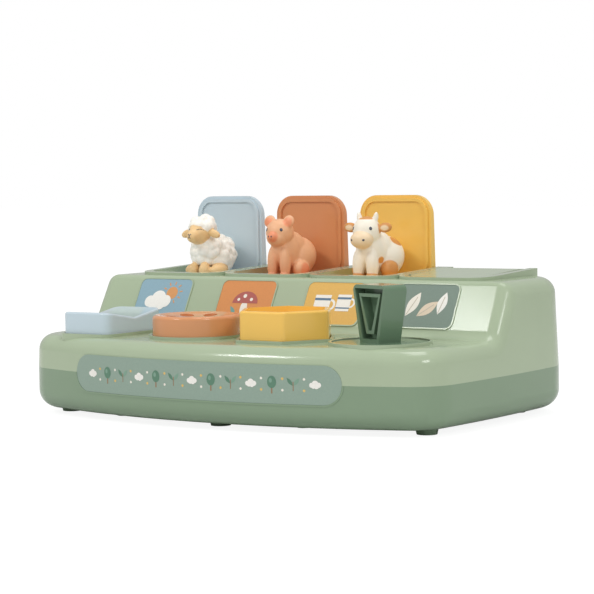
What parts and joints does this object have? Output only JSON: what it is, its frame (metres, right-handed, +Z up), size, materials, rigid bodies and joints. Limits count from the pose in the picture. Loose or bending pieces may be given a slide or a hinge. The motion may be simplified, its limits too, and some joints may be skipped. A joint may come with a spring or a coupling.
{
  "type": "pop up animal toy",
  "caption": "Pop up toy: stepped housing with hinged lids that raise seated animals, each latched and released by its own button, dial, rocker or key.",
  "frame": {"origin": "middle of the footprint, on the floor under the feet", "axes": "+X to the toy's right, +Y to its back, +Z up"},
  "size_m": [0.3216, 0.2034, 0.139],
  "materials": {
    "light_shell": "gloss moulded",
    "dark_shell": "gloss moulded",
    "grey_label": "printed film",
    "blue_label": "printed film",
    "orange_label": "printed film",
    "yellow_label": "printed film",
    "blue_plastic": "gloss moulded",
    "orange_plastic": "gloss moulded",
    "lid_orange": "satin moulded",
    "yellow_plastic": "gloss moulded",
    "green_plastic": "gloss moulded",
    "lid_green": "satin moulded",
    "wool": "soft vinyl",
    "pig_vinyl": "soft vinyl",
    "cow_vinyl": "soft vinyl",
    "hen_vinyl": "soft vinyl",
    "inner_plastic": "as moulded",
    "steel": "plain wire and pins"
  },
  "bodies": {
    "housing": {"upper_housing": "light_shell", "lower_housing": "dark_shell", "feet": "dark_shell", "front_label": "grey_label", "slope_label_blue": "blue_label", "slope_label_orange": "orange_label", "slope_label_yellow": "yellow_label", "slope_label_green": "grey_label", "housing_screws": "steel", "plate_screws": "steel", "mechanism_plate": "inner_plastic", "hinge_pin_blue": "steel", "flap_spring_blue": "steel", "latch_spring_blue": "steel", "hinge_pin_orange": "steel", "flap_spring_orange": "steel", "latch_spring_orange": "steel", "hinge_pin_yellow": "steel", "flap_spring_yellow": "steel", "latch_spring_yellow": "steel", "hinge_pin_green": "steel", "flap_spring_green": "steel", "latch_spring_green": "steel", "rocker_spring": "steel", "dial_spring": "steel", "push_spring": "steel", "key_spring": "steel"},
    "flap_blue": {"flap_blue": "blue_plastic", "sheep": "wool", "figure_screw_blue": "steel"},
    "latch_blue": {"latch_bar_blue": "inner_plastic"},
    "flap_orange": {"flap_orange": "lid_orange", "pig": "pig_vinyl", "figure_screw_orange": "steel"},
    "latch_orange": {"latch_bar_orange": "inner_plastic"},
    "flap_yellow": {"flap_yellow": "yellow_plastic", "cow": "cow_vinyl", "figure_screw_yellow": "steel"},
    "latch_yellow": {"latch_bar_yellow": "inner_plastic"},
    "flap_green": {"flap_green": "lid_green", "hen": "hen_vinyl", "figure_screw_green": "steel"},
    "latch_green": {"latch_bar_green": "inner_plastic"},
    "rocker": {"rocker": "blue_plastic", "rocker_pin": "steel"},
    "dial": {"dial": "orange_plastic", "dial_clip": "steel"},
    "push_button": {"push_button": "yellow_plastic"},
    "key": {"key_grip": "green_plastic", "key_disc": "green_plastic", "key_clip": "steel"}
  },
  "joints": [
    {"name": "flap_blue_hinge", "type": "hinge", "parent": "housing", "child": "flap_blue", "pos_m": [-0.102, 0.0826, 0.082], "axis": [1, 0, 0], "range_deg": [0, 90], "stiffness_Nm_per_rad": 0.02, "springref_deg": -85.94},
    {"name": "flap_orange_hinge", "type": "hinge", "parent": "housing", "child": "flap_orange", "pos_m": [-0.034, 0.0826, 0.082], "axis": [1, 0, 0], "range_deg": [0, 90], "stiffness_Nm_per_rad": 0.02, "springref_deg": -85.94},
    {"name": "flap_yellow_hinge", "type": "hinge", "parent": "housing", "child": "flap_yellow", "pos_m": [0.034, 0.0826, 0.082], "axis": [1, 0, 0], "range_deg": [0, 90], "stiffness_Nm_per_rad": 0.02, "springref_deg": -85.94},
    {"name": "flap_green_hinge", "type": "hinge", "parent": "housing", "child": "flap_green", "pos_m": [0.102, 0.0826, 0.082], "axis": [1, 0, 0], "range_deg": [-90, 0]},
    {"name": "rocker_tilt", "type": "hinge", "parent": "housing", "child": "rocker", "pos_m": [-0.102, -0.049, 0.0515], "axis": [1, 0, 0], "range_deg": [-6, 6], "stiffness_Nm_per_rad": 0.3},
    {"name": "dial_turn", "type": "hinge", "parent": "housing", "child": "dial", "pos_m": [-0.034, -0.049, 0.05], "axis": [0, 0, 1], "range_deg": [-50, 0], "stiffness_Nm_per_rad": 0.05, "springref_deg": 34.38},
    {"name": "button_press", "type": "slide", "parent": "housing", "child": "push_button", "axis": [0, 0, 1], "range_m": [-0.005, 0], "stiffness_N_per_m": 300, "springref_m": 0.004, "deforming": ["push_spring"]},
    {"name": "key_turn", "type": "hinge", "parent": "housing", "child": "key", "pos_m": [0.102, -0.049, 0.05], "axis": [0, 0, 1], "range_deg": [0, 50], "stiffness_Nm_per_rad": 0.05, "springref_deg": -34.38},
    {"name": "latch_blue_drop", "type": "slide", "parent": "housing", "child": "latch_blue", "axis": [0, 0, 1], "range_m": [-0.0022, 0.0022], "deforming": ["latch_spring_blue"]},
    {"name": "latch_orange_drop", "type": "slide", "parent": "housing", "child": "latch_orange", "axis": [0, 0, 1], "range_m": [-0.0042, 0], "deforming": ["latch_spring_orange"]},
    {"name": "latch_yellow_drop", "type": "slide", "parent": "housing", "child": "latch_yellow", "axis": [0, 0, 1], "range_m": [-0.005, 0], "deforming": ["latch_spring_yellow"]},
    {"name": "latch_green_drop", "type": "slide", "parent": "housing", "child": "latch_green", "axis": [0, 0, 1], "range_m": [-0.0042, 0], "deforming": ["latch_spring_green"]}
  ],
  "couplings": [
    {"joint": "latch_blue_drop", "follows": "rocker_tilt", "m_per_rad": -0.02},
    {"joint": "latch_orange_drop", "follows": "dial_turn", "m_per_rad": 0.004584},
    {"joint": "latch_yellow_drop", "follows": "button_press", "ratio": 1},
    {"joint": "latch_green_drop", "follows": "key_turn", "m_per_rad": -0.004584}
  ]
}
